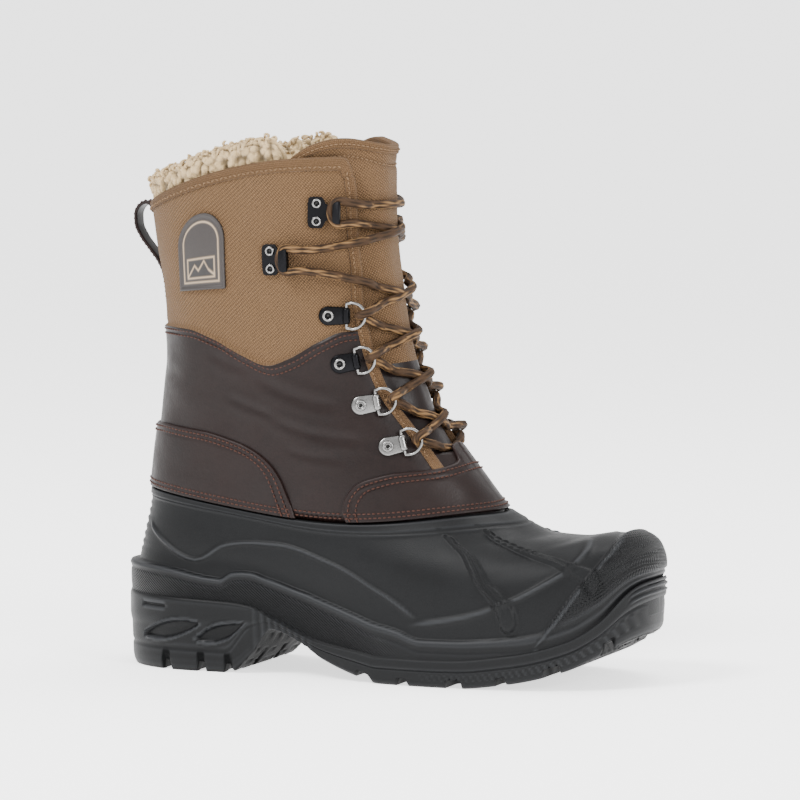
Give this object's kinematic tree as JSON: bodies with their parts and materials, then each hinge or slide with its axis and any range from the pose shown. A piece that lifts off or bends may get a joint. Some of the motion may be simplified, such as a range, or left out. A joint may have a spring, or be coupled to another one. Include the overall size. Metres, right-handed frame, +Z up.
{
  "type": "fleece-lined winter ankle boot",
  "caption": "Right winter boot with a lugged rubber galosh, leather and nylon shaft, front lacing over a padded tongue, and a fleece collar.",
  "frame": {"origin": "on the floor, under the middle of the boot's bounding box", "axes": "+X towards the toe, +Z up, -Y towards the outer side of the right foot"},
  "size_m": [0.31, 0.1158, 0.2972],
  "materials": {
    "sole_rubber": "matte black moulded rubber",
    "galosh_rubber": "matte charcoal moulded rubber with a fine grain",
    "insole_felt": "cream felt",
    "leather": "dark brown semi-gloss smooth leather",
    "nylon": "tan coarse woven nylon",
    "binding": "tan grosgrain binding",
    "fleece": "cream curly fleece pile",
    "badge_patch": "brown-grey embossed patch",
    "lace_cord": "brown round braided cord with beige flecks",
    "gunmetal": "dark plated metal",
    "nickel": "bright nickel plate"
  },
  "bodies": {
    "root": {"outsole": "sole_rubber", "rubber_galosh": "galosh_rubber", "insole": "insole_felt", "upper": "leather", "vamp_saddle": "leather", "heel_counter": "leather", "tongue": "nylon", "collar_binding": "binding", "fleece_collar": "fleece", "pull_loop": "leather", "badge": "badge_patch", "clip_outer_1": "nickel", "ring_outer_1": "nickel", "clip_outer_2": "nickel", "ring_outer_2": "nickel", "clip_outer_3": "gunmetal", "ring_outer_3": "gunmetal", "clip_outer_4": "gunmetal", "ring_outer_4": "gunmetal", "hook_outer_1": "gunmetal", "hook_outer_2": "gunmetal", "clip_inner_1": "nickel", "ring_inner_1": "nickel", "clip_inner_2": "nickel", "ring_inner_2": "nickel", "clip_inner_3": "gunmetal", "ring_inner_3": "gunmetal", "clip_inner_4": "gunmetal", "ring_inner_4": "gunmetal", "hook_inner_1": "gunmetal", "hook_inner_2": "gunmetal", "lace_bar_low": "lace_cord", "lace_cross_1": "lace_cord", "lace_cross_2": "lace_cord", "lace_cross_3": "lace_cord", "lace_cross_4": "lace_cord", "lace_cross_5": "lace_cord", "lace_bar_top": "lace_cord"}
  },
  "joints": []
}
